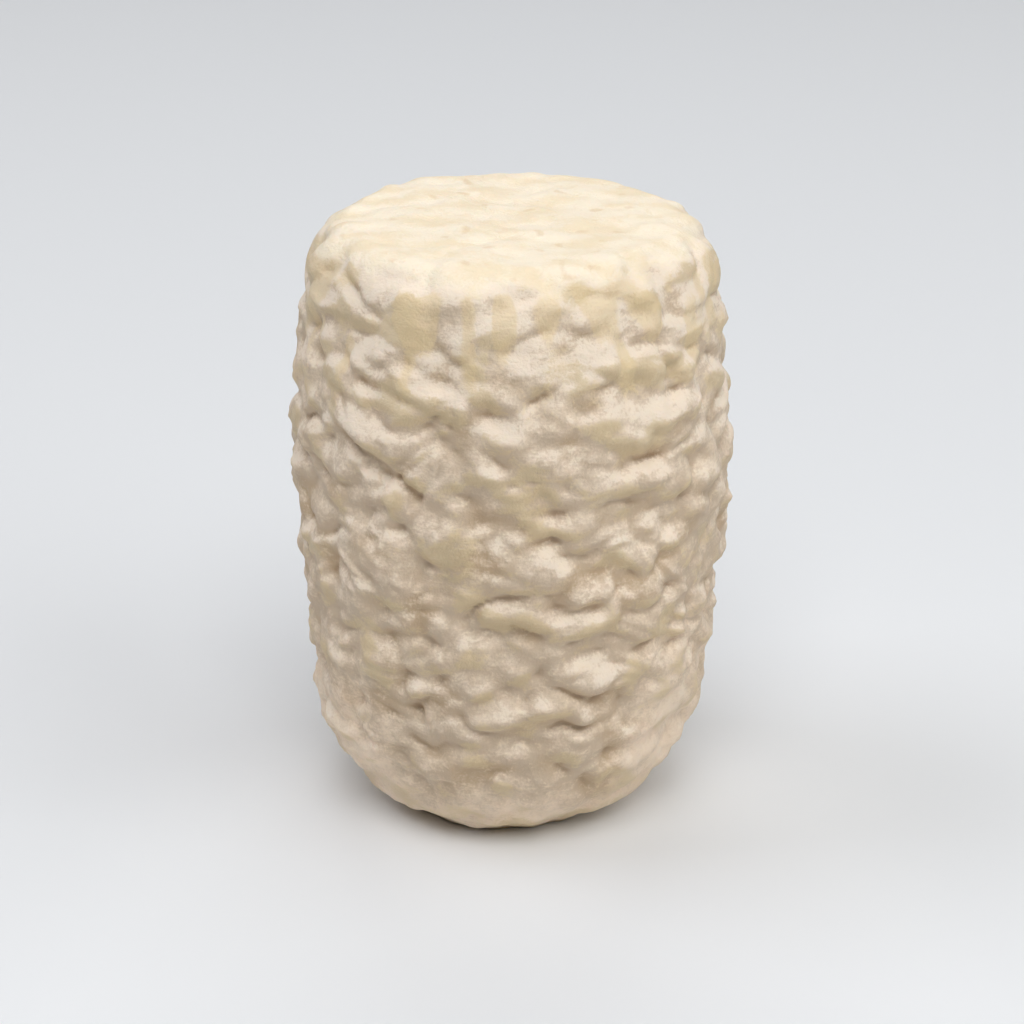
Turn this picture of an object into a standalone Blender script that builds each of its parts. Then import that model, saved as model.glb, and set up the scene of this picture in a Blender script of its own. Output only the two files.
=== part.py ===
"""A ripened goat cheese log: one short, upright barrel of soft cheese with a thick, wrinkled rind.

Blender 4.5, metres, +Z up. The origin is the middle of the foot, and the front faces -Y. The barrel is a
turned profile on an even grid of quads. Its folds are laid one by one over the barrel: first the large ones
of the front, each with its own place and size, then seeded ones that fill the rest. Soft swellings and
finer wrinkles lie over them, and the foot is pressed flat where the cheese has stood.
"""

import math
import random
from collections import namedtuple

import bmesh
import bpy
import numpy as np
from mathutils import noise

MM = 0.001

# The barrel, as it would be with no folds
HEIGHT = 85 * MM
BELLY_RADIUS = 30 * MM
BELLY_HEIGHT = 53 * MM
DRAW_IN_ABOVE = 3.57  # metres of radius for each square metre of height above the belly
DRAW_IN_BELOW = 1.9
RIM_HEIGHT = 5 * MM
RIM_INSET = 4.5 * MM
FOOT_HEIGHT = 20 * MM
FOOT_INSET = 18.5 * MM
PRESSED = 3 * MM  # lost from the foot where it is pressed flat
SWAY = 0.8 * MM  # how far the foot stands to the left of the belly
SWAY_HEIGHT = 45 * MM
PROFILE_STEPS = 400

# The folds of the rind
FOLD_WIDTH = 1.3  # times the half widths given below
FOLD_RISE = 0.6  # times the rises given below
FOLD_POWER = 1.7  # above 1 gives a fold soft edges
UPPER_SIDE = 0.85  # steepness of a fold's upper side, and then of its lower one
LOWER_SIDE = 1.15
FOLD_BLEND = 0.5 * MM
LEAN = 0.15  # how far a fold sags, as a share of its rise
RING_STEP = 5 * MM
FOLD_STEP = 10.5 * MM
LENGTHS, WIDTHS = (3.0, 7.0), (1.9, 3.0)  # of the seeded folds, in millimetres
RISES, DROOPS = (0.9, 1.9), (-0.8, 1.4)
SLOPES = 40  # spread, in degrees
PLACE_JITTER, RING_JITTER = 0.3, 0.4  # as shares of the steps
NEIGHBOUR = 12 * MM
CLEAR = 0.6  # the share of its half length that a fold keeps clear of others
SEED = 100

# The relief that lies over and under the folds
WARP_SIZE = 9 * MM
WARP = 1.5 * MM
FINE_WARP_SIZE = 3.6 * MM
FINE_WARP = 0.5 * MM
PILLOW_SIZE = 8.5 * MM
PILLOW = 2.7 * MM
CREASE = 0.04  # how round the bottom of a crease is
WRINKLE_SIZE = 3.6 * MM
WRINKLE = 0.9 * MM
FLATTER = 1.3  # pillows and wrinkles are this much wider than high
SWELL_SIZE = 13 * MM
SWELL = 0.9 * MM
CEILING = 2.4 * MM
SINK = 0.85 * MM
WARP_SEED = 965
PILLOW_PLACE = (342, 333, 151)  # where in the endless noise these are taken from, in millimetres
WRINKLE_PLACE = (118, 192, 3)
SWELL_PLACE = (199, 38, 277)

# Where the rind is calmer: the share of relief that is lost, and over what stretch
TOP_LOSS, TOP_DEPTH, TOP_EDGE, TOP_FADE = 0.6, 3 * MM, 27 * MM, 4 * MM
RIM_LOSS, RIM_START, RIM_FADE = 0.3, 13 * MM, 8 * MM
FOOT_LOSS, FOOT_FADE = 0.4, 14 * MM

GRID = 96  # quads along each edge of the cube that the grid starts from
TRIANGLES = 11400

# A fold or a dent: its middle (degrees right of the front, and height), half its length, half its width,
# its rise, its slope in degrees, up to the right, and how far its ends droop. All lengths in millimetres.
Stroke = namedtuple("Stroke", "azimuth height length width rise slope droop")

FRONT_FOLDS = [
    Stroke(-30.5, 69.6, 7.5, 2.6, 2.0, -19, 0.6),
    Stroke(-49, 77.6, 4.6, 2.4, 1.4, 0, 0.0),
    Stroke(-46, 68.3, 3.0, 1.8, 1.3, -8, 0.0),
    Stroke(-39, 62.5, 5.0, 2.8, 1.8, -18, 0.4),
    Stroke(-20.5, 57.8, 4.2, 3.0, 1.9, -28, 0.0),
    Stroke(-36, 55.0, 4.0, 2.4, 1.3, 0, 0.0),
    Stroke(-27.5, 52.0, 3.2, 2.0, 1.5, -25, 0.0),
    Stroke(-15.5, 48.0, 3.6, 2.6, 1.8, -8, 0.0),
    Stroke(-5, 47.8, 3.3, 1.6, 1.5, -40, 0.0),
    Stroke(-2, 59.3, 4.2, 2.0, 1.6, 14, 0.0),
    Stroke(16, 59.4, 5.6, 2.0, 1.5, -4, 0.0),
    Stroke(29, 56.9, 6.0, 1.8, 1.6, 1, 0.0),
    Stroke(32, 63.7, 3.3, 2.0, 1.7, -32, 0.5),
    Stroke(48, 64.6, 4.8, 1.9, 1.6, -4, 0.0),
    Stroke(51, 59.0, 4.6, 1.7, 1.3, 0, 0.0),
    Stroke(50, 53.8, 4.4, 1.9, 1.4, -3, 0.0),
    Stroke(14, 71.0, 4.0, 2.4, 1.3, -6, 0.0),
    Stroke(11.5, 51.0, 3.0, 2.2, 1.6, 0, 0.5),
    Stroke(31, 45.9, 4.0, 1.7, 1.6, -30, 0.0),
    Stroke(41, 47.6, 3.8, 1.5, 1.3, -30, 0.0),
    Stroke(4, 43.9, 4.8, 2.2, 1.7, 12, 0.0),
    Stroke(-38, 35.8, 5.5, 1.7, 1.5, 4, -1.2),
    Stroke(-42, 31.3, 4.8, 1.8, 1.6, -8, 1.6),
    Stroke(-37.5, 27.0, 2.4, 1.8, 1.9, -25, 0.0),
    Stroke(-27.5, 26.6, 1.4, 1.9, 1.7, 0, 0.0),
    Stroke(3.5, 23.8, 6.8, 2.2, 2.0, 14, 0.0),
    Stroke(-13, 20.0, 3.0, 1.7, 1.4, -5, 0.5),
    Stroke(-22, 13.6, 2.6, 1.9, 1.3, 0, 0.0),
    Stroke(5, 38.2, 6.0, 1.7, 1.8, -22, 1.5),
    Stroke(-4.5, 32.8, 2.8, 2.0, 1.5, -10, -0.8),
    Stroke(25, 28.6, 7.2, 2.4, 2.1, -4, -1.0),
    Stroke(37.2, 27.5, 3.2, 1.2, 1.2, 65, 0.0),
    Stroke(51, 36.0, 5.0, 1.3, 1.3, 88, 0.0),
    Stroke(27.5, 20.0, 3.2, 1.6, 1.4, -15, 1.2),
    Stroke(6, 15.0, 3.0, 2.2, 1.5, -30, 0.0),
    Stroke(17, 12.0, 2.6, 1.8, 1.0, -10, 0.0),
    Stroke(21, 41.3, 3.4, 1.7, 1.3, 0, 0.0),
    Stroke(-12, 28.0, 2.6, 1.9, 1.2, 5, 0.0),
    Stroke(-19, 38.0, 3.0, 2.6, 1.3, 30, 0.0),
]
FRONT_DENTS = [
    Stroke(-29.5, 67.7, 7.2, 1.0, -1.2, -19, 0.6),
    Stroke(24.5, 24.4, 1.5, 1.8, -1.2, 80, 0.0),
    Stroke(4, 36.0, 2.8, 1.3, -1.0, -8, 0.0),
    Stroke(-36, 57.2, 3.6, 0.8, -0.9, -2, 0.0),
    Stroke(-27, 56.3, 2.5, 0.8, -0.9, -42, 0.0),
    Stroke(-33, 23.5, 3.5, 0.8, -0.9, -15, 0.0),
]


def radius_at(height):
    """Radius of the smooth barrel: a parabola each side of the belly, drawn in to the rim and the foot."""
    above = np.maximum(height - BELLY_HEIGHT, 0)
    below = np.maximum(BELLY_HEIGHT - height, 0)
    radius = BELLY_RADIUS - DRAW_IN_ABOVE * above**2 - DRAW_IN_BELOW * below**2
    rim = (HEIGHT - height, RIM_HEIGHT, RIM_INSET)
    foot = (height + PRESSED, FOOT_HEIGHT, FOOT_INSET)
    for end, reach, inset in (rim, foot):
        into = np.clip(1 - end / reach, 0, 1)
        radius = radius - inset * (1 - np.sqrt(1 - into**2))
    return radius


def profile():
    """Radius, height and length along the profile, from the middle of the top over the side to the foot."""
    turn = np.linspace(0, math.pi, PROFILE_STEPS)
    height = (HEIGHT + PRESSED) * (1 + np.cos(turn)) / 2 - PRESSED
    radius = np.concatenate([[0], radius_at(height), [0]])
    height = np.concatenate([[HEIGHT], height, [-PRESSED]])
    length = np.concatenate([[0], np.cumsum(np.hypot(np.diff(radius), np.diff(height)))])
    return radius, height, length


RADIUS, LEVEL, LENGTH = profile()


def on_barrel(along, azimuth):
    """Points on the smooth barrel, with their outward and downward directions."""
    step = 0.2 * MM
    radius, level = np.interp(along, LENGTH, RADIUS), np.interp(along, LENGTH, LEVEL)
    before, after = np.maximum(along - step, 0), np.minimum(along + step, LENGTH[-1])
    run = np.interp(after, LENGTH, RADIUS) - np.interp(before, LENGTH, RADIUS)
    drop = np.interp(after, LENGTH, LEVEL) - np.interp(before, LENGTH, LEVEL)
    size = np.hypot(run, drop)
    run, drop = run / size, drop / size
    east, north = np.sin(azimuth), -np.cos(azimuth)
    point = np.stack([radius * east, radius * north, level], axis=-1)
    down = np.stack([run * east, run * north, drop], axis=-1)
    outward = np.stack([-drop * east, -drop * north, run], axis=-1)
    return point, outward, down


def sampled_noise(points, size, place=(0, 0, 0)):
    return np.array([noise.noise(p) for p in (points + np.array(place) * MM) / size])


def warped(points):
    """The points moved about a little, so that folds wander."""
    noise.seed_set(WARP_SEED)
    wide = np.array([noise.noise_vector(p) for p in points / WARP_SIZE])
    fine = np.array([noise.noise_vector(p) for p in points / FINE_WARP_SIZE])
    return points + WARP * wide + FINE_WARP * fine


def pillows(points, size, place):
    """Rounded swellings with creases between."""
    return np.sqrt(sampled_noise(points, size, place) ** 2 + CREASE**2) - CREASE


class Fold:
    """A stroke laid on the barrel: a rounded roll, or a dent if its rise is below zero."""

    def __init__(self, stroke, along=None):
        azimuth = math.radians(stroke.azimuth)
        if along is None:
            side = slice(1, -1)
            along = np.interp(-stroke.height * MM, -LEVEL[side], LENGTH[side])
        self.middle, outward, down = on_barrel(np.float64(along), np.float64(azimuth))
        right = np.cross(outward, down)
        slope = math.radians(stroke.slope)
        self.forward = right * math.cos(slope) - down * math.sin(slope)
        self.upward = -down * math.cos(slope) - right * math.sin(slope)
        self.length, self.width = stroke.length * MM, stroke.width * MM * FOLD_WIDTH
        self.rise, self.droop = stroke.rise * MM * FOLD_RISE, stroke.droop * MM

    def place(self, points):
        """How far the points are past the fold's straight middle, and to its side."""
        offset = points - self.middle
        run = offset @ self.forward
        across = offset @ self.upward + self.droop * (run / self.length) ** 2
        past = np.maximum(np.abs(run) - self.length + self.width / 2, 0)
        return past, across * np.where(across > 0, UPPER_SIDE, LOWER_SIDE)

    def height_at(self, points):
        """The rise over those points that the fold reaches, and which points they are."""
        reach = self.length + self.width + abs(self.droop)
        near = np.flatnonzero(((points - self.middle) ** 2).sum(axis=1) < reach**2)
        past, across = self.place(points[near])
        share = 1 - (past**2 + across**2) / self.width**2
        return near, self.rise * np.maximum(share, 0) ** FOLD_POWER


def calm(point):
    """Share of the full relief: low on the flat top, and lower towards the rim and the foot."""
    level = point[:, 2]
    reach = np.hypot(point[:, 0], point[:, 1])
    top = np.clip(1 - (HEIGHT - level) / TOP_DEPTH, 0, 1) * np.clip((TOP_EDGE - reach) / TOP_FADE, 0, 1)
    rim = np.clip((RIM_START - HEIGHT + level) / RIM_FADE, 0, 1)
    foot = np.clip(1 - level / FOOT_FADE, 0, 1)
    return (1 - TOP_LOSS * top) * (1 - RIM_LOSS * rim) * (1 - FOOT_LOSS * foot)


def lay_folds():
    """The front's folds, then rings of seeded ones wherever the barrel is still bare."""
    front = [Fold(stroke) for stroke in FRONT_FOLDS]
    folds = list(front)
    draw = random.Random(SEED)
    for ring in np.arange(RING_STEP / 2, LENGTH[-1], RING_STEP):
        count = round(math.tau * np.interp(ring, LENGTH, RADIUS) / FOLD_STEP) + 1
        phase = draw.random()
        for place in range(count):
            azimuth = 360 * (place + phase + draw.uniform(-PLACE_JITTER, PLACE_JITTER)) / count - 180
            along = ring + RING_STEP * draw.uniform(-RING_JITTER, RING_JITTER)
            length, width, rise, droop = (draw.uniform(*span) for span in (LENGTHS, WIDTHS, RISES, DROOPS))
            fold = Fold(Stroke(azimuth, 0, length, width, rise, draw.gauss(0, SLOPES), droop), along)
            if not crowded(fold, front):
                folds.append(fold)
    return folds


def crowded(fold, others):
    """Whether the middle of the fold lies on or right beside one of the others."""
    for other in others:
        if np.linalg.norm(fold.middle - other.middle) > NEIGHBOUR:
            continue
        past, across = other.place(fold.middle[None])
        if past[0] < CLEAR * fold.length and abs(across[0]) < (fold.width + other.width) / 2:
            return True
    return False


def rind_height(points):
    """How far the rind stands out from the smooth barrel: folds of like height, with creases between."""
    moved = warped(points)
    rind = np.zeros(len(points))
    for fold in lay_folds():
        near, rise = fold.height_at(moved)
        gap = np.maximum(FOLD_BLEND - np.abs(rind[near] - rise), 0)
        blend = gap**2 / (4 * FOLD_BLEND) * np.clip(rise / FOLD_BLEND, 0, 1)
        rind[near] = np.maximum(rind[near], rise) + blend
    level = moved * np.array([1, 1, FLATTER])
    rind += PILLOW * pillows(level, PILLOW_SIZE, PILLOW_PLACE)
    rind += WRINKLE * sampled_noise(level, WRINKLE_SIZE, WRINKLE_PLACE)
    rind = CEILING * np.tanh(rind / CEILING)
    for stroke in FRONT_DENTS:
        near, rise = Fold(stroke).height_at(moved)
        rind[near] += rise
    rind += SWELL * sampled_noise(points, SWELL_SIZE, SWELL_PLACE)
    return (rind - SINK) * calm(points)


def grid_mesh(grid):
    """An even shell of quads: a cube's grid, each point taken to its direction and then to the barrel."""
    shell = bmesh.new()
    bmesh.ops.create_cube(shell, size=2)
    bmesh.ops.subdivide_edges(shell, edges=shell.edges[:], cuts=grid - 1, use_grid_fill=True)
    cube = np.array([vert.co for vert in shell.verts])
    direction = np.tan(cube * math.pi / 4)
    direction /= np.linalg.norm(direction, axis=1)[:, None]
    along = np.arccos(np.clip(direction[:, 2], -1, 1)) / math.pi * LENGTH[-1]
    azimuth = np.arctan2(direction[:, 0], -direction[:, 1])
    point, outward, down = on_barrel(along, azimuth)
    rind = rind_height(point)
    point = point + outward * rind[:, None] + down * (LEAN * np.maximum(rind, 0))[:, None]
    point[:, 0] -= SWAY * np.maximum(1 - point[:, 2] / SWAY_HEIGHT, 0) ** 2
    point[:, 2] = np.maximum(point[:, 2], 0)
    point[:, :2] -= (point[:, :2].min(axis=0) + point[:, :2].max(axis=0)) / 2
    for vert, place in zip(shell.verts, point):
        vert.co = place
    bmesh.ops.recalc_face_normals(shell, faces=shell.faces[:])
    mesh = bpy.data.meshes.new("goat_cheese_log")
    shell.to_mesh(mesh)
    shell.free()
    return mesh


def rind_material():
    material = bpy.data.materials.new("soft ripened cheese rind")
    material.use_nodes = True
    surface = material.node_tree.nodes["Principled BSDF"]
    surface.inputs["Base Color"].default_value = (0.70, 0.59, 0.44, 1)
    surface.inputs["Roughness"].default_value = 0.75
    surface.inputs["Metallic"].default_value = 0.0
    return material


def clear_scene():
    for thing in list(bpy.data.objects):
        bpy.data.objects.remove(thing)


def goat_cheese_log():
    mesh = grid_mesh(GRID)
    mesh.shade_smooth()
    mesh.materials.append(rind_material())
    cheese = bpy.data.objects.new("goat_cheese_log", mesh)
    bpy.context.scene.collection.objects.link(cheese)
    fewer = cheese.modifiers.new("fewer faces", "DECIMATE")
    fewer.ratio = TRIANGLES / (12 * GRID**2)
    return cheese


clear_scene()
goat_cheese_log()
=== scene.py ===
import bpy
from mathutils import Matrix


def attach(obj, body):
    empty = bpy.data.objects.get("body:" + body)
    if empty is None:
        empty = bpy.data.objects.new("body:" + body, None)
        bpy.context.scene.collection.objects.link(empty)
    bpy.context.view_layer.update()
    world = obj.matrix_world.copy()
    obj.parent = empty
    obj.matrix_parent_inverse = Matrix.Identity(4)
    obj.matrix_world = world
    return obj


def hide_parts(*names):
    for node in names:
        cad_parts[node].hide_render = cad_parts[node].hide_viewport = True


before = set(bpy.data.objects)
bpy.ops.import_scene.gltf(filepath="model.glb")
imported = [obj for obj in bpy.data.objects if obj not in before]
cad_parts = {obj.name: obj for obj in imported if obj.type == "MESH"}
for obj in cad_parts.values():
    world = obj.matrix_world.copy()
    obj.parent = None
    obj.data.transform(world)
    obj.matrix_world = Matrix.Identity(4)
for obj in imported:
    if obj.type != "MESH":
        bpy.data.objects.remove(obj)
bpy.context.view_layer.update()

import math
import random
from collections import namedtuple

import bpy
import numpy as np
from mathutils import Vector, noise

# The cheese: one soft, upright barrel of goat curd, moulded, turned out and ripened for some weeks until
# its skin wrinkled and sagged into folds. The barrel is drawn smooth first, from the curve of its side.
MM = 0.001
HEIGHT = 85 * MM
BELLY_RADIUS = 30 * MM
BELLY_HEIGHT = 53 * MM
DRAW_IN_ABOVE = 3.57  # metres of radius for each square metre of height above the belly
DRAW_IN_BELOW = 1.9
RIM_HEIGHT = 5 * MM
RIM_INSET = 4.5 * MM
FOOT_HEIGHT = 20 * MM
FOOT_INSET = 18.5 * MM
PRESSED = 3 * MM  # lost from the foot where it is pressed flat
SWAY = 0.8 * MM  # how far the foot stands to the left of the belly
SWAY_HEIGHT = 45 * MM


def radius_at(height):
    """The radius of the smooth barrel, with its belly, soft rim and drawn-in foot."""
    above = np.maximum(height - BELLY_HEIGHT, 0)
    below = np.maximum(BELLY_HEIGHT - height, 0)
    radius = BELLY_RADIUS - DRAW_IN_ABOVE * above**2 - DRAW_IN_BELOW * below**2
    rim = (HEIGHT - height, RIM_HEIGHT, RIM_INSET)
    foot = (height + PRESSED, FOOT_HEIGHT, FOOT_INSET)
    for end, reach, inset in (rim, foot):
        into = np.clip(1 - end / reach, 0, 1)
        radius = radius - inset * (1 - np.sqrt(1 - into**2))
    return radius


def side_curve(steps=400):
    """The side from the middle of the top to the middle of the foot: its radius, height and length."""
    height = (HEIGHT + PRESSED) * (1 + np.cos(np.linspace(0, math.pi, steps))) / 2 - PRESSED
    radius = np.concatenate([[0], radius_at(height), [0]])
    height = np.concatenate([[HEIGHT], height, [-PRESSED]])
    length = np.concatenate([[0], np.cumsum(np.hypot(np.diff(radius), np.diff(height)))])
    return radius, height, length


RADIUS, LEVEL, LENGTH = side_curve()


def on_barrel(along, azimuth):
    """The point so far along the side and round from the front, the way outward and the way down."""
    step = 0.2 * MM
    radius, level = np.interp(along, LENGTH, RADIUS), np.interp(along, LENGTH, LEVEL)
    before, after = np.maximum(along - step, 0), np.minimum(along + step, LENGTH[-1])
    run = np.interp(after, LENGTH, RADIUS) - np.interp(before, LENGTH, RADIUS)
    drop = np.interp(after, LENGTH, LEVEL) - np.interp(before, LENGTH, LEVEL)
    size = np.hypot(run, drop)
    run, drop = run / size, drop / size
    east, north = np.sin(azimuth), -np.cos(azimuth)
    point = np.stack([radius * east, radius * north, level], axis=-1)
    down = np.stack([run * east, run * north, drop], axis=-1)
    outward = np.stack([-drop * east, -drop * north, run], axis=-1)
    return point, outward, down


# The folds of its rind, a thin living skin that grew faster than the curd beneath, and so wrinkled and
# sagged. The large folds of the front lie where the real ones do, and seeded ones fill the rest.
FOLD_WIDTH = 1.3  # times the half widths given below
FOLD_RISE = 0.6  # times the rises given below
FOLD_POWER = 1.7  # above 1 gives a fold soft edges
UPPER_SIDE = 0.85  # steepness of a fold's upper side, and then of its lower one
LOWER_SIDE = 1.15
FOLD_BLEND = 0.5 * MM
LEAN = 0.15  # how far a fold sags, as a share of its rise
RING_STEP = 5 * MM
FOLD_STEP = 10.5 * MM
LENGTHS, WIDTHS = (3.0, 7.0), (1.9, 3.0)  # of the seeded folds, in millimetres
RISES, DROOPS = (0.9, 1.9), (-0.8, 1.4)
SLOPES = 40  # spread, in degrees
PLACE_JITTER, RING_JITTER = 0.3, 0.4  # as shares of the steps
NEIGHBOUR = 12 * MM
CLEAR = 0.6  # the share of its half length that a fold keeps clear of others
SEED = 100

# The relief that lies over and under the folds: how wide each kind is, and how far it moves the rind
WARP_SIZE = 9 * MM
WARP = 1.5 * MM
FINE_WARP_SIZE = 3.6 * MM
FINE_WARP = 0.5 * MM
PILLOW_SIZE = 8.5 * MM
PILLOW = 2.7 * MM
CREASE = 0.04  # how round the bottom of the groove between pillows is
WRINKLE_SIZE = 3.6 * MM
WRINKLE = 0.9 * MM
FLATTER = 1.3  # pillows and wrinkles are this much wider than high
SWELL_SIZE = 13 * MM
SWELL = 0.9 * MM
CEILING = 2.4 * MM  # which the folds and pillows never reach
SINK = 0.85 * MM  # what the relief adds on average, and is taken off again
WARP_SEED = 965
PILLOW_PLACE = (342, 333, 151)  # where in the endless noise these are taken from, in millimetres
WRINKLE_PLACE = (118, 192, 3)
SWELL_PLACE = (199, 38, 277)

# The finest wrinkles, which the solids leave out: about 4.6 mm long, 2 mm high and half a millimetre deep
FINE_SIZE = 4.6 * MM
FINE_FLATTER = 2.2
FINE_SWIRL_SIZE = 15 * MM
FINE_SWIRL = 5 * MM
FINE = 0.6 * MM
FINE_MEAN = 0.2
FINE_PLACE = (8, 263, 197)

# Where the rind is calmer: the share of relief that is lost, and over what stretch
TOP_LOSS, TOP_DEPTH, TOP_EDGE, TOP_FADE = 0.6, 3 * MM, 27 * MM, 4 * MM
RIM_LOSS, RIM_START, RIM_FADE = 0.3, 13 * MM, 8 * MM
FOOT_LOSS, FOOT_FADE = 0.4, 14 * MM

# A fold or a dent: its middle (degrees right of the front, and height), half its length, half its width,
# its rise, its slope in degrees, up to the right, and how far its ends droop. All lengths in millimetres.
Stroke = namedtuple("Stroke", "azimuth height length width rise slope droop")

FRONT_FOLDS = [
    Stroke(-30.5, 69.6, 7.5, 2.6, 2.0, -19, 0.6),
    Stroke(-49, 77.6, 4.6, 2.4, 1.4, 0, 0.0),
    Stroke(-46, 68.3, 3.0, 1.8, 1.3, -8, 0.0),
    Stroke(-39, 62.5, 5.0, 2.8, 1.8, -18, 0.4),
    Stroke(-20.5, 57.8, 4.2, 3.0, 1.9, -28, 0.0),
    Stroke(-36, 55.0, 4.0, 2.4, 1.3, 0, 0.0),
    Stroke(-27.5, 52.0, 3.2, 2.0, 1.5, -25, 0.0),
    Stroke(-15.5, 48.0, 3.6, 2.6, 1.8, -8, 0.0),
    Stroke(-5, 47.8, 3.3, 1.6, 1.5, -40, 0.0),
    Stroke(-2, 59.3, 4.2, 2.0, 1.6, 14, 0.0),
    Stroke(16, 59.4, 5.6, 2.0, 1.5, -4, 0.0),
    Stroke(29, 56.9, 6.0, 1.8, 1.6, 1, 0.0),
    Stroke(32, 63.7, 3.3, 2.0, 1.7, -32, 0.5),
    Stroke(48, 64.6, 4.8, 1.9, 1.6, -4, 0.0),
    Stroke(51, 59.0, 4.6, 1.7, 1.3, 0, 0.0),
    Stroke(50, 53.8, 4.4, 1.9, 1.4, -3, 0.0),
    Stroke(14, 71.0, 4.0, 2.4, 1.3, -6, 0.0),
    Stroke(11.5, 51.0, 3.0, 2.2, 1.6, 0, 0.5),
    Stroke(31, 45.9, 4.0, 1.7, 1.6, -30, 0.0),
    Stroke(41, 47.6, 3.8, 1.5, 1.3, -30, 0.0),
    Stroke(4, 43.9, 4.8, 2.2, 1.7, 12, 0.0),
    Stroke(-38, 35.8, 5.5, 1.7, 1.5, 4, -1.2),
    Stroke(-42, 31.3, 4.8, 1.8, 1.6, -8, 1.6),
    Stroke(-37.5, 27.0, 2.4, 1.8, 1.9, -25, 0.0),
    Stroke(-27.5, 26.6, 1.4, 1.9, 1.7, 0, 0.0),
    Stroke(3.5, 23.8, 6.8, 2.2, 2.0, 14, 0.0),
    Stroke(-13, 20.0, 3.0, 1.7, 1.4, -5, 0.5),
    Stroke(-22, 13.6, 2.6, 1.9, 1.3, 0, 0.0),
    Stroke(5, 38.2, 6.0, 1.7, 1.8, -22, 1.5),
    Stroke(-4.5, 32.8, 2.8, 2.0, 1.5, -10, -0.8),
    Stroke(25, 28.6, 7.2, 2.4, 2.1, -4, -1.0),
    Stroke(37.2, 27.5, 3.2, 1.2, 1.2, 65, 0.0),
    Stroke(51, 36.0, 5.0, 1.3, 1.3, 88, 0.0),
    Stroke(27.5, 20.0, 3.2, 1.6, 1.4, -15, 1.2),
    Stroke(6, 15.0, 3.0, 2.2, 1.5, -30, 0.0),
    Stroke(17, 12.0, 2.6, 1.8, 1.0, -10, 0.0),
    Stroke(21, 41.3, 3.4, 1.7, 1.3, 0, 0.0),
    Stroke(-12, 28.0, 2.6, 1.9, 1.2, 5, 0.0),
    Stroke(-19, 38.0, 3.0, 2.6, 1.3, 30, 0.0),
]
FRONT_DENTS = [
    Stroke(-29.5, 67.7, 7.2, 1.0, -1.2, -19, 0.6),
    Stroke(24.5, 24.4, 1.5, 1.8, -1.2, 80, 0.0),
    Stroke(4, 36.0, 2.8, 1.3, -1.0, -8, 0.0),
    Stroke(-36, 57.2, 3.6, 0.8, -0.9, -2, 0.0),
    Stroke(-27, 56.3, 2.5, 0.8, -0.9, -42, 0.0),
    Stroke(-33, 23.5, 3.5, 0.8, -0.9, -15, 0.0),
]


def sampled_noise(points, size, place):
    """Soft noise of this size at the points, from about -0.7 to 0.7."""
    return np.array([noise.noise(p) for p in (points + np.array(place) * MM) / size])


def warped(points):
    """The points moved about a little, so that folds wander."""
    noise.seed_set(WARP_SEED)
    wide = np.array([noise.noise_vector(p) for p in points / WARP_SIZE])
    fine = np.array([noise.noise_vector(p) for p in points / FINE_WARP_SIZE])
    return points + WARP * wide + FINE_WARP * fine


def pillows(points, size, place):
    """Rounded swellings with creases between."""
    return np.sqrt(sampled_noise(points, size, place) ** 2 + CREASE**2) - CREASE


class Fold:
    """A stroke laid on the barrel: a rounded roll, or a dent if its rise is below zero."""

    def __init__(self, stroke, along=None):
        azimuth = math.radians(stroke.azimuth)
        if along is None:
            side = slice(1, -1)  # without the middles of the top and the foot, as the height only falls
            along = np.interp(-stroke.height * MM, -LEVEL[side], LENGTH[side])
        self.middle, outward, down = on_barrel(np.float64(along), np.float64(azimuth))
        right = np.cross(outward, down)
        slope = math.radians(stroke.slope)
        self.forward = right * math.cos(slope) - down * math.sin(slope)
        self.upward = -down * math.cos(slope) - right * math.sin(slope)
        self.length, self.width = stroke.length * MM, stroke.width * MM * FOLD_WIDTH
        self.rise, self.droop = stroke.rise * MM * FOLD_RISE, stroke.droop * MM

    def place(self, points):
        """How far the points are past the fold's straight middle, and to its side."""
        offset = points - self.middle
        run = offset @ self.forward
        across = offset @ self.upward + self.droop * (run / self.length) ** 2
        past = np.maximum(np.abs(run) - self.length + self.width / 2, 0)
        return past, across * np.where(across > 0, UPPER_SIDE, LOWER_SIDE)

    def height_at(self, points):
        """The rise over those points that the fold reaches, and which points they are."""
        reach = self.length + self.width + abs(self.droop)
        near = np.flatnonzero(((points - self.middle) ** 2).sum(axis=1) < reach**2)
        past, across = self.place(points[near])
        share = 1 - (past**2 + across**2) / self.width**2
        return near, self.rise * np.maximum(share, 0) ** FOLD_POWER


def calm(point):
    """Share of the full relief: low on the flat top, and lower towards the rim and the foot."""
    level = point[:, 2]
    reach = np.hypot(point[:, 0], point[:, 1])
    top = np.clip(1 - (HEIGHT - level) / TOP_DEPTH, 0, 1) * np.clip((TOP_EDGE - reach) / TOP_FADE, 0, 1)
    rim = np.clip((RIM_START - HEIGHT + level) / RIM_FADE, 0, 1)
    foot = np.clip(1 - level / FOOT_FADE, 0, 1)
    return (1 - TOP_LOSS * top) * (1 - RIM_LOSS * rim) * (1 - FOOT_LOSS * foot)


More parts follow.
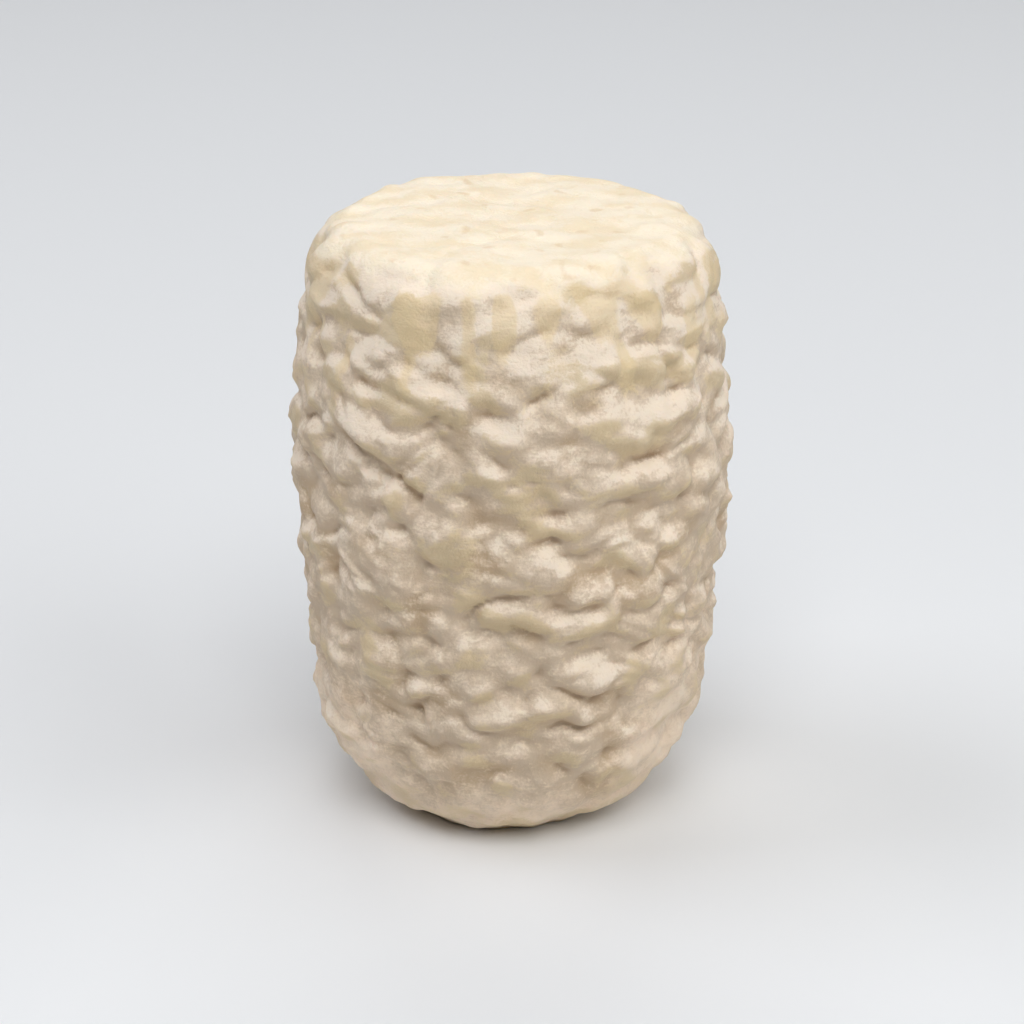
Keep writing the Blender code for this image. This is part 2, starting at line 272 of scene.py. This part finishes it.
def lay_folds():
    """The front's folds, then rings of seeded ones wherever the barrel is still bare."""
    front = [Fold(stroke) for stroke in FRONT_FOLDS]
    folds = list(front)
    draw = random.Random(SEED)
    for ring in np.arange(RING_STEP / 2, LENGTH[-1], RING_STEP):
        count = round(math.tau * np.interp(ring, LENGTH, RADIUS) / FOLD_STEP) + 1
        phase = draw.random()
        for place in range(count):
            azimuth = 360 * (place + phase + draw.uniform(-PLACE_JITTER, PLACE_JITTER)) / count - 180
            along = ring + RING_STEP * draw.uniform(-RING_JITTER, RING_JITTER)
            length, width, rise, droop = (draw.uniform(*span) for span in (LENGTHS, WIDTHS, RISES, DROOPS))
            fold = Fold(Stroke(azimuth, 0, length, width, rise, draw.gauss(0, SLOPES), droop), along)
            if not crowded(fold, front):
                folds.append(fold)
    return folds


def crowded(fold, others):
    """Whether the middle of the fold lies on or right beside one of the others."""
    for other in others:
        if np.linalg.norm(fold.middle - other.middle) > NEIGHBOUR:
            continue
        past, across = other.place(fold.middle[None])
        if past[0] < CLEAR * fold.length and abs(across[0]) < (fold.width + other.width) / 2:
            return True
    return False


def rind_height(points):
    """How far the rind stands out from the smooth barrel: folds of like height, with creases between."""
    moved = warped(points)
    rind = np.zeros(len(points))
    for fold in lay_folds():
        near, rise = fold.height_at(moved)
        gap = np.maximum(FOLD_BLEND - np.abs(rind[near] - rise), 0)
        blend = gap**2 / (4 * FOLD_BLEND) * np.clip(rise / FOLD_BLEND, 0, 1)
        rind[near] = np.maximum(rind[near], rise) + blend
    level = moved * np.array([1, 1, FLATTER])
    rind += PILLOW * pillows(level, PILLOW_SIZE, PILLOW_PLACE)
    rind += WRINKLE * sampled_noise(level, WRINKLE_SIZE, WRINKLE_PLACE)
    rind = CEILING * np.tanh(rind / CEILING)
    for stroke in FRONT_DENTS:
        near, rise = Fold(stroke).height_at(moved)
        rind[near] += rise
    rind += SWELL * sampled_noise(points, SWELL_SIZE, SWELL_PLACE)
    return (rind - SINK) * calm(points)


def fine_wrinkles(points):
    """The finest wrinkles, longer than they are high, which swirl about over the folds."""
    wandering = warped(points)
    swirl = np.array([noise.noise_vector(p) for p in points / FINE_SWIRL_SIZE])
    moved = (wandering + FINE_SWIRL * swirl) * np.array([1, 1, FINE_FLATTER])
    return FINE * (pillows(moved, FINE_SIZE, FINE_PLACE) - FINE_MEAN) * calm(points)


# The coats of its finish: most are a thin film or growth that the weeks of ripening left on the skin, and
# some are painted light and shade. A coat follows some of the guides below, each with a weight, and lies
# where their sum is high, within its zone.
Coat = namedtuple("Coat", "name follows zone tint roughness ragged start full most")

# A zone or a guide goes from 0 at the first place to 1 at the second, in millimetres above the foot
UPPER_HALF = (56, 76)
LOWER_HALF = (35, 15)
FOOT_END = (10, 0)
BELOW_RIM = (66, 74)
RIM_END = (75, 79)
TOP_FACE = (80, 83)
CRUST = (82.8, 85.8)
RIGHT_SIDE, LEFT_SIDE = (13, 20), (-13, -20)  # millimetres to the right of the middle
LEVEL_FACE = (0.3, 0.8)  # the upward share of the way outward
FOOT_BOUNCE_LIGHT = 15  # how far up the foot's painted bounce light reaches
BOUNCE_LIGHT_RIGHT, BOUNCE_LIGHT_LEFT = 30, 18  # and how much further at its sides
HILL_ROUNDS, RIDGE_ROUNDS = 60, 6  # which even out about 2 mm, and about half a millimetre

# Patches of noise: their size and their place in the endless noise, in millimetres, and how often they
# repeat along each axis beside an even patch
Patch = namedtuple("Patch", "size place repeats")
EVEN = (1, 1, 1)
SIDE_PATCHES = {
    "blotches": Patch(5, (0, 0, 0), EVEN),
    "damp spots": Patch(6, (343, 156, 364), EVEN),
    "hazy spots": Patch(5, (170, 183, 79), EVEN),
    "bloom spots": Patch(5, (290, 74, 266), EVEN),
    "worn spots": Patch(5, (216, 28, 50), EVEN),
    "streaks": Patch(3, (324, 125, 204), (1, 1, 0.3)),
}
TOP_PATCHES = {
    "crust patches": Patch(5, (0, 0, 0), (0.7, 1.4, 1)),
    "tan spots": Patch(2.5, (50, 50, 50), EVEN),
}
# Where the bloom lies: its real spots, and a painted highlight that whitens what faces up and the crests
BLOOM_AND_HIGHLIGHT = {"facing up": 1.1, "hill": 0.4, "bloom spots": 0.5, "upper half": 0.4, "foot end": -0.3}
WORN = {"hill": 0.6, "facing up": -0.9, "worn spots": 1.2, "lower half": -0.3, "upper half": 0.3}
COATS = [
    # damp skin, a darker tan, mostly in the hollows
    Coat("damp", {"damp spots": 1.6, "hill": -0.5}, "all", "#BDA07A", 0.5, 1.0, -0.1, 0.9, 0.6),
    # a thin haze of the velvety growth, through which the skin shows
    Coat("haze", {"facing up": 0.3, "hazy spots": 0.6}, "all", "#E0D0BA", 0.8, 2.4, -0.4, 1.2, 0.45),
    # painted shade: brown darkening at the bottom of the creases
    Coat("painted_crease_shade", {"ridge": -4, "hill": -0.5}, "all", "#8E6D4E", 0.6, 0.4, 0.3, 2.0, 0.5),
    # painted light: a pale peach glow on the foot, standing in for warm light bounced up from the floor,
    # which goes further up at both sides
    Coat("foot", {"foot bounce light": 1, "blotches": 0.4}, "all", "#FBE5CC", 0.6, 1.0, 0.0, 0.9, 0.85),
    # pinkish white bloom, partly real and partly a painted highlight that makes it whiter on all that faces
    # up and on the crests
    Coat("bloom_and_highlight", BLOOM_AND_HIGHLIGHT, "all", "#F2E0CA", 0.8, 1.5, -0.2, 0.9, 0.85),
    # and its thickest, whitest clots, which are also partly a painted highlight on what faces up
    Coat("clot_and_highlight", BLOOM_AND_HIGHLIGHT, "all", "#FAECDA", 0.85, 1.8, 0.45, 0.8, 0.5),
    # the noses of the folds, rubbed bare to smooth, yellowish skin
    Coat("worn", WORN, "all", "#D6C097", 0.45, 1.4, 0.15, 0.7, 0.7),
    # yellow drips of fat below the rim
    Coat("drip", {"streaks": 2.5, "rim end": 0.4}, "below rim", "#E6CEA0", 0.45, 1.0, 0.15, 0.7, 0.55),
    # the dry ivory crust of the top
    Coat("top", {"crust": 1, "facing up": 0.6, "blotches": 0.8}, "all", "#F9EBD4", 0.7, 1.0, 0.2, 0.9, 1.0),
    # warmer, creamier patches on it
    Coat("patch", {"all": 0.4, "crust patches": 1.2}, "top", "#EEDAB5", 0.6, 1.6, 0.0, 1.0, 0.6),
    # and a few small tan spots
    Coat("spot", {"tan spots": 2.2}, "top", "#DCBD90", 0.5, 0.5, 0.85, 1.5, 0.45),
]


def mean_nearby(mesh, value, rounds):
    """The value, evened out over each point's neighbours so many times."""
    ends = np.empty(len(mesh.edges) * 2, dtype=np.int32)
    mesh.edges.foreach_get("vertices", ends)
    first, second = ends[0::2], ends[1::2]
    count = np.bincount(ends, minlength=len(value))
    for _ in range(rounds):
        total = np.bincount(first, value[second], len(value))
        total += np.bincount(second, value[first], len(value))
        value = (value + total / count) / 2
    return value


def way(value, start, end):
    """How far the value has gone from the start to the end, or past them."""
    return (value - start) / (end - start)


def ramp(value, start, end):
    return np.clip(way(value, start, end), 0, 1)


def patches(kinds, points):
    return {
        name: sampled_noise(points * np.array(kind.repeats), kind.size * MM, kind.place)
        for name, kind in kinds.items()
    }


def guides(mesh, barrel, point, rind):
    """All that the coats follow, for each point of the rind."""
    normal = np.empty(point.size)
    mesh.vertex_normals.foreach_get("vector", normal)
    upward = normal[2::3]
    side, level = point[:, 0] / MM, point[:, 2] / MM
    top = ramp(level, *TOP_FACE) * ramp(upward, *LEVEL_FACE)
    # how high the painted bounce light of the foot reaches, higher at its sides
    pale = FOOT_BOUNCE_LIGHT + BOUNCE_LIGHT_RIGHT * ramp(side, *RIGHT_SIDE) + BOUNCE_LIGHT_LEFT * ramp(side, *LEFT_SIDE)
    return {
        **patches(SIDE_PATCHES, barrel),
        **patches(TOP_PATCHES, point),
        "all": np.ones(len(point)),
        "facing up": upward,
        "hill": (rind - mean_nearby(mesh, rind, HILL_ROUNDS)) / MM,
        "ridge": (rind - mean_nearby(mesh, rind, RIDGE_ROUNDS)) / MM,
        "upper half": ramp(level, *UPPER_HALF),
        "lower half": ramp(level, *LOWER_HALF),
        "foot end": ramp(level, *FOOT_END),
        "rim end": ramp(level, *RIM_END),
        "foot bounce light": way(level, pale, 0),
        "crust": way(level, *CRUST),
        "below rim": ramp(level, *BELOW_RIM) * (1 - top),
        "top": top,
    }


def lay_coats(mesh, guide):
    """Each coat as an attribute of the mesh, from below 0 for nowhere to above 1 for its middle."""
    for coat in COATS:
        lies = sum(weight * guide[name] for name, weight in coat.follows.items()) * guide[coat.zone]
        mesh.attributes.new(coat.name, "FLOAT", "POINT").data.foreach_set("value", lies)


# The rind's mesh: a cube's even grid, whose squares stay small everywhere on the barrel
FIRST_CUTS = 63  # of each edge of the cube, and then each piece is cut in two


def cheese_body():
    """The cube's grid, each point taken to its direction, on to the barrel and out to the rind."""
    bpy.ops.object.select_all(action="DESELECT")
    bpy.ops.mesh.primitive_cube_add(size=2)
    body = bpy.context.object
    body.name = "cheese"
    bpy.ops.object.mode_set(mode="EDIT")
    bpy.ops.mesh.select_all(action="SELECT")
    bpy.ops.mesh.subdivide(number_cuts=FIRST_CUTS)
    bpy.ops.mesh.subdivide(number_cuts=1)
    bpy.ops.object.mode_set(mode="OBJECT")
    cube = np.empty(len(body.data.vertices) * 3)
    body.data.vertices.foreach_get("co", cube)
    direction = np.tan(cube.reshape(-1, 3) * math.pi / 4)
    direction /= np.linalg.norm(direction, axis=1)[:, None]
    along = np.arccos(np.clip(direction[:, 2], -1, 1)) / math.pi * LENGTH[-1]
    azimuth = np.arctan2(direction[:, 0], -direction[:, 1])
    barrel, outward, down = on_barrel(along, azimuth)
    rind = rind_height(barrel) + fine_wrinkles(barrel)
    point = barrel + outward * rind[:, None] + down * (LEAN * np.maximum(rind, 0))[:, None]
    point[:, 0] -= SWAY * np.maximum(1 - point[:, 2] / SWAY_HEIGHT, 0) ** 2
    point[:, 2] = np.maximum(point[:, 2], 0)
    point[:, :2] -= (point[:, :2].min(axis=0) + point[:, :2].max(axis=0)) / 2
    body.data.vertices.foreach_set("co", point.ravel())
    body.data.update()
    bpy.ops.object.shade_smooth()
    lay_coats(body.data, guides(body.data, barrel, point, rind))
    return body


cheese = cheese_body()


# The material of its rind, soft ripened cheese skin: matt and a little see-through, and mottled all over
# by a velvety growth, whose hairs catch the light along the folds. It also breaks up each coat's edge.
SKIN = "#CDB89F"
SKIN_ROUGHNESS = 0.75
TUFT_SIZE = 0.35 * MM  # the hairs are truly about 0.02 mm thick, and drawn coarser so that they show
MOTTLE_SIZE = 1.8 * MM
HAIR_LENGTH = 5  # times a tuft's size
HAIR_LEAN = math.radians(25)
TUFT_SHARE, HAIR_SHARE = 0.5, 0.3  # of the growth's height, beside 1 for the mottle
GROWTH_MEAN = (TUFT_SHARE + HAIR_SHARE + 1) / 2
GROWTH_HEIGHT = 0.22 * MM
LIGHT_REACH = 1.0 * MM  # how far red light goes into the curd
LIGHT_SPREAD = (1.0, 0.6, 0.35)  # the reach of red, green and blue, as shares of it
LIGHT_SHARE = 0.2


def linear(colour):
    """A hex colour as linear red, green, blue and alpha."""
    parts = [int(colour[i : i + 2], 16) / 255 for i in (1, 3, 5)]
    return [p / 12.92 if p <= 0.04045 else ((p + 0.055) / 1.055) ** 2.4 for p in parts] + [1]


def plain(name, colour, roughness):
    """A material of one colour all over."""
    material = bpy.data.materials.new(name)
    material.use_nodes = True
    shader = material.node_tree.nodes["Principled BSDF"]
    shader.inputs["Base Color"].default_value = linear(colour)
    shader.inputs["Roughness"].default_value = roughness
    return material


def add(tree, kind, feeds, **settings):
    """A node with its settings; feeds gives each input its value, or the output that it takes."""
    node = tree.nodes.new("ShaderNode" + kind)
    for name, value in settings.items():
        setattr(node, name, value)
    for name, value in feeds.items():
        if isinstance(value, bpy.types.NodeSocket):
            tree.links.new(value, node.inputs[name])
        else:
            node.inputs[name].default_value = value
    return node.outputs


def growth(tree):
    """The height of the velvety growth, about 0 on average: mottle, tufts and hairs that lie along."""
    where = add(tree, "TexCoord", {})["Object"]
    fine = {"Scale": 1 / TUFT_SIZE, "Detail": 3.0}
    coarse = {"Scale": 1 / MOTTLE_SIZE, "Detail": 5.0, "Roughness": 0.6, "Distortion": 0.8}
    tufts = add(tree, "TexNoise", {"Vector": where, **fine})["Fac"]
    mottle = add(tree, "TexNoise", {"Vector": where, **coarse})["Fac"]
    drawn_out = {"Rotation": (0, HAIR_LEAN, 0), "Scale": (1 / HAIR_LENGTH, 1 / HAIR_LENGTH, 1)}
    along = add(tree, "Mapping", {"Vector": where, **drawn_out})["Vector"]
    hairs = add(tree, "TexNoise", {"Vector": along, **fine})["Fac"]
    height = add(tree, "Math", {0: tufts, 1: TUFT_SHARE, 2: mottle}, operation="MULTIPLY_ADD")[0]
    height = add(tree, "Math", {0: hairs, 1: HAIR_SHARE, 2: height}, operation="MULTIPLY_ADD")[0]
    return add(tree, "Math", {0: height, 1: GROWTH_MEAN}, operation="SUBTRACT")[0]


def rind_finish():
    rind = plain("soft ripened goat cheese rind", SKIN, SKIN_ROUGHNESS)
    tree = rind.node_tree
    surface = tree.nodes["Principled BSDF"]
    height = growth(tree)
    colour, rough = linear(SKIN), SKIN_ROUGHNESS
    for coat in COATS:
        lies = add(tree, "Attribute", {}, attribute_name=coat.name)["Fac"]
        broken = add(tree, "Math", {0: height, 1: coat.ragged, 2: lies}, operation="MULTIPLY_ADD")[0]
        edge = {0: broken, 1: coat.start, 2: coat.full, 4: coat.most}
        share = add(tree, "MapRange", edge, interpolation_type="SMOOTHSTEP")[0]
        colour = add(tree, "Mix", {0: share, 6: colour, 7: linear(coat.tint)}, data_type="RGBA")[2]
        rough = add(tree, "Mix", {0: share, 2: rough, 3: coat.roughness})[0]
    tree.links.new(rough, surface.inputs["Roughness"])
    tree.links.new(colour, surface.inputs["Base Color"])
    relief = add(tree, "Math", {0: height, 1: GROWTH_HEIGHT}, operation="MULTIPLY")[0]
    bump = add(tree, "Bump", {"Height": relief, "Strength": 1.0, "Distance": 1.0})["Normal"]
    tree.links.new(bump, surface.inputs["Normal"])
    surface.inputs["Subsurface Weight"].default_value = LIGHT_SHARE
    surface.inputs["Subsurface Radius"].default_value = LIGHT_SPREAD
    surface.inputs["Subsurface Scale"].default_value = LIGHT_REACH
    return rind


rind = rind_finish()
cheese.data.materials.append(rind)
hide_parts("goat_cheese_log")
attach(cheese, "root")

# The floor of the studio, a wide matt board that is plain and pale, so that the eye stays on the cheese.
FLOOR_WIDTH = 6.0
bpy.ops.object.select_all(action="DESELECT")
bpy.ops.mesh.primitive_plane_add(size=FLOOR_WIDTH)
floor = bpy.context.object
floor.name = "floor"
floor.data.materials.append(plain("matt white board", "#E6E8EA", 0.7))

# The light of the studio: six large softboxes round and above the cheese, all aimed at its middle. The
# front one is the strongest, and the left one is a touch bluer. The room itself is almost dark.
Softbox = namedtuple("Softbox", "name place watts colour")
BOX_WIDTH = 0.9
SOFTBOXES = [
    Softbox("front", (0.0, -0.92, 1.31), 12.4, "#FFFFFF"),
    Softbox("front right", (1.00, -0.70, 1.03), 6.5, "#FFFFFF"),
    Softbox("left", (-1.02, 0.09, 1.23), 7.7, "#F9FAFF"),
    Softbox("right", (1.02, 0.09, 1.23), 4.1, "#FFFFFF"),
    Softbox("behind", (0.0, 1.03, 1.23), 4.7, "#FFFFFF"),
    Softbox("overhead", (0.0, -0.06, 1.60), 1.9, "#FFFFFF"),
]
ROOM_COLOUR = "#F6F8FF"
ROOM_LIGHT = 0.01


def place_and_aim(name, data, place, target):
    """A lamp or a camera at its place, turned towards the target."""
    thing = bpy.data.objects.new(name, data)
    thing.location = place
    thing.rotation_euler = (Vector(target) - thing.location).to_track_quat("-Z", "Y").to_euler()
    bpy.context.scene.collection.objects.link(thing)
    return thing


for box in SOFTBOXES:
    lamp = bpy.data.lights.new(box.name, "AREA")
    lamp.shape = "SQUARE"
    lamp.size = BOX_WIDTH
    lamp.energy = box.watts
    lamp.color = linear(box.colour)[:3]
    place_and_aim(box.name, lamp, box.place, (0, 0, HEIGHT / 2))
world = bpy.data.worlds.new("studio")
world.use_nodes = True
room = world.node_tree.nodes["Background"]
room.inputs["Color"].default_value = linear(ROOM_COLOUR)
room.inputs["Strength"].default_value = ROOM_LIGHT
bpy.context.scene.world = world
bpy.context.scene.view_settings.view_transform = "Standard"

# The camera, at the photograph's angle: 22.55 degrees above the floor, and 4.45 heights of the cheese away
# from the cheese's middle, with a long lens that is aimed a little below it.
CAMERA_RISE = math.radians(22.55)
CAMERA_AWAY = 4.45 * HEIGHT
FOCAL_LENGTH, SENSOR_WIDTH = 94.1, 36  # millimetres
AIM_DROP = 0.65 * MM
NEAREST = 0.01  # metres from the lens at which things begin to show

lens = bpy.data.cameras.new("camera")
lens.sensor_width = SENSOR_WIDTH
lens.lens = FOCAL_LENGTH
lens.clip_start = NEAREST
camera_height = HEIGHT / 2 + CAMERA_AWAY * math.sin(CAMERA_RISE)
camera_place = (0, -CAMERA_AWAY * math.cos(CAMERA_RISE), camera_height)
camera = place_and_aim("camera", lens, camera_place, (0, 0, HEIGHT / 2 - AIM_DROP))
bpy.context.scene.camera = camera
